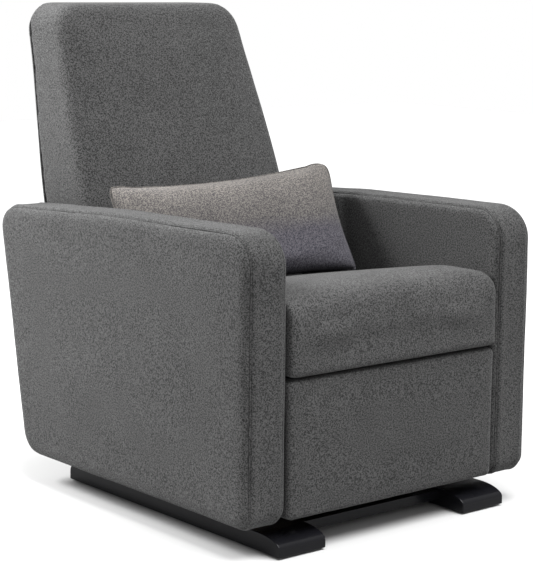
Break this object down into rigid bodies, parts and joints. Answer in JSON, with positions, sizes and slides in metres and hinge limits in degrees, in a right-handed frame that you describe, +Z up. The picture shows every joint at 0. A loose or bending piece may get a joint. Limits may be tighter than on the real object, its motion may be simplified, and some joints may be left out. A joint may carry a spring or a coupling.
{
  "type": "glider recliner chair",
  "caption": "Upholstered nursery glider recliner with padded arms, tapered back, fold-out footrest, loose lumbar pillow and two black lacquered floor runners.",
  "frame": {"origin": "on the floor, under the centre of the chair's bounding box", "axes": "+Z up, the chair faces -Y, +X to the right seen from the front; left and right in node names are as seen from the front"},
  "size_m": [0.784, 0.992, 1.054],
  "materials": {
    "upholstery": "heathered mid-grey felted tweed, matt",
    "pillow_fabric": "flecked wool look, warm light grey at the top fading to slate at the bottom",
    "black_lacquer": "high-gloss black lacquer over wood",
    "floor_pad": "matt black rubber",
    "hardwood": "sanded hardwood",
    "plywood": "sanded plywood",
    "black_steel": "satin black powder coat",
    "zinc_steel": "bright zinc plate",
    "spring_steel": "oil-tempered wire"
  },
  "bodies": {
    "base": {"base_rail_left": "black_lacquer", "base_rail_right": "black_lacquer", "front_floor_pad_left": "floor_pad", "front_floor_pad_right": "floor_pad", "rear_floor_pad_left": "floor_pad", "rear_floor_pad_right": "floor_pad", "front_cross_bar": "black_lacquer", "rear_cross_bar": "black_lacquer", "front_upright_left": "black_steel", "front_upright_right": "black_steel", "rear_upright_left": "black_steel", "rear_upright_right": "black_steel", "front_glide_shaft": "zinc_steel", "rear_glide_shaft": "zinc_steel"},
    "front_links": {"front_glide_link_left": "zinc_steel", "front_glide_link_right": "zinc_steel"},
    "rear_links": {"rear_glide_link_left": "zinc_steel", "rear_glide_link_right": "zinc_steel"},
    "seat": {"front_hanger_left": "black_steel", "front_hanger_right": "black_steel", "rear_hanger_left": "black_steel", "rear_hanger_right": "black_steel", "seat_side_rail_left": "hardwood", "seat_side_rail_right": "hardwood", "seat_front_rail": "hardwood", "seat_rear_rail": "hardwood", "seat_spring_1": "spring_steel", "seat_spring_2": "spring_steel", "seat_spring_3": "spring_steel", "seat_spring_4": "spring_steel", "arm_frame_left": "hardwood", "arm_frame_right": "hardwood", "arm_left": "upholstery", "arm_right": "upholstery", "seat_cushion": "upholstery", "recline_hinge_plate_left": "black_steel", "recline_hinge_plate_right": "black_steel", "rear_lower_panel": "upholstery", "footrest_mount_plate_left": "black_steel", "footrest_mount_plate_right": "black_steel"},
    "backrest": {"back_cushion": "upholstery", "back_frame": "hardwood", "outside_back": "upholstery", "back_bracket_left": "black_steel", "back_bracket_right": "black_steel"},
    "footrest_drive": {"footrest_drive_link_left": "zinc_steel", "footrest_drive_link_right": "zinc_steel", "footrest_cross_tube": "black_steel"},
    "footrest_slide": {"footrest_slide_link_left": "zinc_steel", "footrest_slide_link_right": "zinc_steel"},
    "footrest_short": {"footrest_short_link_left": "zinc_steel", "footrest_short_link_right": "zinc_steel"},
    "footrest_panel": {"footrest_carrier_link_left": "zinc_steel", "footrest_carrier_link_right": "zinc_steel", "footrest_bracket_left": "black_steel", "footrest_bracket_right": "black_steel", "footrest_pad": "upholstery", "footrest_board": "plywood"},
    "pillow": {"lumbar_pillow": "pillow_fabric"}
  },
  "joints": [
    {"name": "glide", "type": "hinge", "parent": "base", "child": "front_links", "pos_m": [0, -0.23, 0.24], "axis": [1, 0, 0], "range_deg": [-20, 20]},
    {"name": "rear_link_swing", "type": "hinge", "parent": "base", "child": "rear_links", "pos_m": [0, 0.1, 0.24], "axis": [1, 0, 0], "range_deg": [-20, 20]},
    {"name": "seat_level", "type": "hinge", "parent": "front_links", "child": "seat", "pos_m": [0, -0.23, 0.095], "axis": [1, 0, 0], "range_deg": [-20, 20]},
    {"name": "recline", "type": "hinge", "parent": "seat", "child": "backrest", "pos_m": [0, 0.205, 0.345], "axis": [-1, 0, 0], "range_deg": [0, 35]},
    {"name": "footrest_open", "type": "hinge", "parent": "seat", "child": "footrest_drive", "pos_m": [0, -0.384, 0.3], "axis": [-1, 0, 0], "range_deg": [0, 79]},
    {"name": "footrest_cross", "type": "hinge", "parent": "footrest_drive", "child": "footrest_slide", "pos_m": [0, -0.40345, 0.1897], "axis": [1, 0, 0], "range_deg": [0, 158]},
    {"name": "footrest_knee", "type": "hinge", "parent": "footrest_drive", "child": "footrest_short", "pos_m": [0, -0.4229, 0.0794], "axis": [1, 0, 0], "range_deg": [0, 158]},
    {"name": "footrest_carry", "type": "hinge", "parent": "footrest_slide", "child": "footrest_panel", "pos_m": [0, -0.40345, 0.3017], "axis": [-1, 0, 0], "range_deg": [0, 158]},
    {"name": "pillow_lift", "type": "slide", "parent": "seat", "child": "pillow", "axis": [0, 0, 1], "range_m": [0, 0.15]}
  ],
  "couplings": [
    {"joint": "rear_link_swing", "follows": "glide", "ratio": 1},
    {"joint": "seat_level", "follows": "glide", "ratio": -1},
    {"joint": "footrest_cross", "follows": "footrest_open", "ratio": 2},
    {"joint": "footrest_knee", "follows": "footrest_open", "ratio": 2},
    {"joint": "footrest_carry", "follows": "footrest_open", "ratio": 2}
  ]
}
